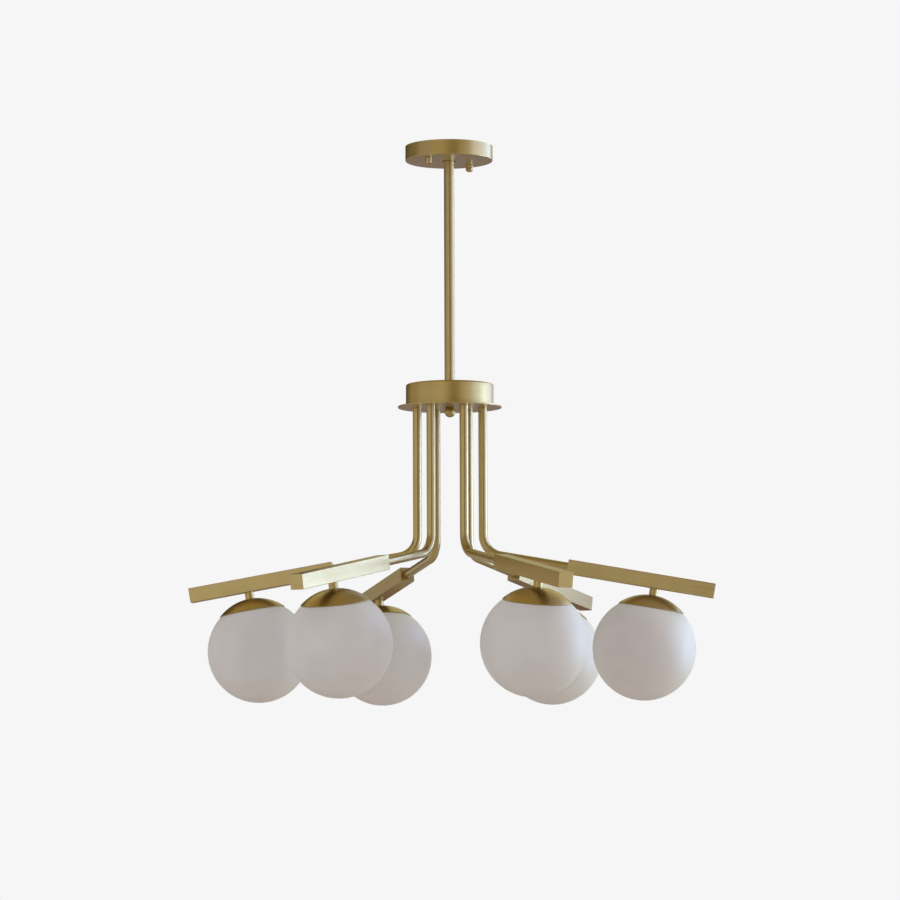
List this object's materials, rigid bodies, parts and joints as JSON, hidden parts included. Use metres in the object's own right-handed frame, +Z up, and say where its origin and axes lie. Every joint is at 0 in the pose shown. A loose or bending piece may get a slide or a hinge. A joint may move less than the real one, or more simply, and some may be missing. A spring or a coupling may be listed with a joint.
{
  "type": "branch chandelier",
  "caption": "Hanging chandelier in satin brass: rod, drum hub and bent tubes that carry square branch bars with opal glass globes",
  "frame": {"origin": "on the ceiling, in the middle of the crossbar's top face", "axes": "+Z up; the side seen in the picture looks towards -Y, +X to its right"},
  "size_m": [0.7587, 0.7092, 0.8057],
  "materials": {
    "satin_brass": "satin",
    "zinc_steel": "satin",
    "green_steel": "gloss",
    "opal_glass": "matte",
    "bulb_glass": "matte",
    "ceramic": "matte"
  },
  "bodies": {
    "ceiling_mount": {"crossbar": "zinc_steel", "canopy_studs": "zinc_steel", "stud_lock_nuts": "zinc_steel", "ground_screw": "green_steel", "canopy": "satin_brass", "swivel_socket": "zinc_steel"},
    "thumb_nut_left": {"thumb_nut_left": "satin_brass"},
    "thumb_nut_right": {"thumb_nut_right": "satin_brass"},
    "swivel_ring": {"swivel_ring": "zinc_steel"},
    "swivel_ball": {"swivel_ball": "zinc_steel"},
    "hanger": {"rod_nipples": "zinc_steel", "rod_lock_nuts": "zinc_steel", "rod": "satin_brass", "hub_cup": "satin_brass", "hub_plate": "satin_brass", "arm_nuts": "zinc_steel", "finial": "satin_brass"},
    "arm_1": {"arm_tube_1": "satin_brass", "arm_bar_1": "satin_brass", "stem_1": "satin_brass", "cap_1": "satin_brass", "lamp_holder_1": "ceramic", "bulb_1": "bulb_glass"},
    "globe_1": {"globe_1": "opal_glass"},
    "arm_2": {"arm_tube_2": "satin_brass", "arm_bar_2": "satin_brass", "stem_2": "satin_brass", "cap_2": "satin_brass", "lamp_holder_2": "ceramic", "bulb_2": "bulb_glass"},
    "globe_2": {"globe_2": "opal_glass"},
    "arm_3": {"arm_tube_3": "satin_brass", "arm_bar_3": "satin_brass", "stem_3": "satin_brass", "cap_3": "satin_brass", "lamp_holder_3": "ceramic", "bulb_3": "bulb_glass"},
    "globe_3": {"globe_3": "opal_glass"},
    "arm_4": {"arm_tube_4": "satin_brass", "arm_bar_4": "satin_brass", "stem_4": "satin_brass", "cap_4": "satin_brass", "lamp_holder_4": "ceramic", "bulb_4": "bulb_glass"},
    "globe_4": {"globe_4": "opal_glass"},
    "arm_5": {"arm_tube_5": "satin_brass", "arm_bar_5": "satin_brass", "stem_5": "satin_brass", "cap_5": "satin_brass", "lamp_holder_5": "ceramic", "bulb_5": "bulb_glass"},
    "globe_5": {"globe_5": "opal_glass"},
    "arm_6": {"arm_tube_6": "satin_brass", "arm_bar_6": "satin_brass", "stem_6": "satin_brass", "cap_6": "satin_brass", "lamp_holder_6": "ceramic", "bulb_6": "bulb_glass"},
    "globe_6": {"globe_6": "opal_glass"}
  },
  "joints": [
    {"name": "thumb_nut_left_turn", "type": "hinge", "parent": "ceiling_mount", "child": "thumb_nut_left", "pos_m": [-0.02974, -0.03303, -0.026], "axis": [0, 0, 1], "continuous": true},
    {"name": "thumb_nut_right_turn", "type": "hinge", "parent": "ceiling_mount", "child": "thumb_nut_right", "pos_m": [0.02974, 0.03303, -0.026], "axis": [0, 0, 1], "continuous": true},
    {"name": "swivel_tilt_front", "type": "hinge", "parent": "ceiling_mount", "child": "swivel_ring", "pos_m": [0, 0, -0.0075], "axis": [1, 0, 0], "range_deg": [-4, 4]},
    {"name": "swivel_tilt_side", "type": "hinge", "parent": "swivel_ring", "child": "swivel_ball", "pos_m": [0, 0, -0.0075], "axis": [0, 1, 0], "range_deg": [-4, 4]},
    {"name": "rod_turn", "type": "hinge", "parent": "swivel_ball", "child": "hanger", "pos_m": [0, 0, -0.2], "axis": [0, 0, 1], "range_deg": [-170, 170]},
    {"name": "arm_1_swing", "type": "hinge", "parent": "hanger", "child": "arm_1", "pos_m": [0.04732, -0.00414, -0.38], "axis": [0, 0, 1], "range_deg": [-12, 12]},
    {"name": "globe_1_pull", "type": "slide", "parent": "arm_1", "child": "globe_1", "axis": [-0.1724, 0.0212, -0.9848], "range_m": [0, 0.012]},
    {"name": "arm_2_swing", "type": "hinge", "parent": "hanger", "child": "arm_2", "pos_m": [0.02724, 0.03891, -0.38], "axis": [0, 0, 1], "range_deg": [-12, 12]},
    {"name": "globe_2_pull", "type": "slide", "parent": "arm_2", "child": "globe_2", "axis": [-0.0946, -0.1456, -0.9848], "range_m": [0, 0.012]},
    {"name": "arm_3_swing", "type": "hinge", "parent": "hanger", "child": "arm_3", "pos_m": [-0.02007, 0.04305, -0.38], "axis": [0, 0, 1], "range_deg": [-12, 12]},
    {"name": "globe_3_pull", "type": "slide", "parent": "arm_3", "child": "globe_3", "axis": [0.0622, -0.1621, -0.9848], "range_m": [0, 0.012]},
    {"name": "arm_4_swing", "type": "hinge", "parent": "hanger", "child": "arm_4", "pos_m": [-0.04732, 0.00414, -0.38], "axis": [0, 0, 1], "range_deg": [-12, 12]},
    {"name": "globe_4_pull", "type": "slide", "parent": "arm_4", "child": "globe_4", "axis": [0.1727, -0.0182, -0.9848], "range_m": [0, 0.012]},
    {"name": "arm_5_swing", "type": "hinge", "parent": "hanger", "child": "arm_5", "pos_m": [-0.02724, -0.03891, -0.38], "axis": [0, 0, 1], "range_deg": [-12, 12]},
    {"name": "globe_5_pull", "type": "slide", "parent": "arm_5", "child": "globe_5", "axis": [0.0946, 0.1456, -0.9848], "range_m": [0, 0.012]},
    {"name": "arm_6_swing", "type": "hinge", "parent": "hanger", "child": "arm_6", "pos_m": [0.02007, -0.04305, -0.38], "axis": [0, 0, 1], "range_deg": [-12, 12]},
    {"name": "globe_6_pull", "type": "slide", "parent": "arm_6", "child": "globe_6", "axis": [-0.0706, 0.1586, -0.9848], "range_m": [0, 0.012]}
  ]
}
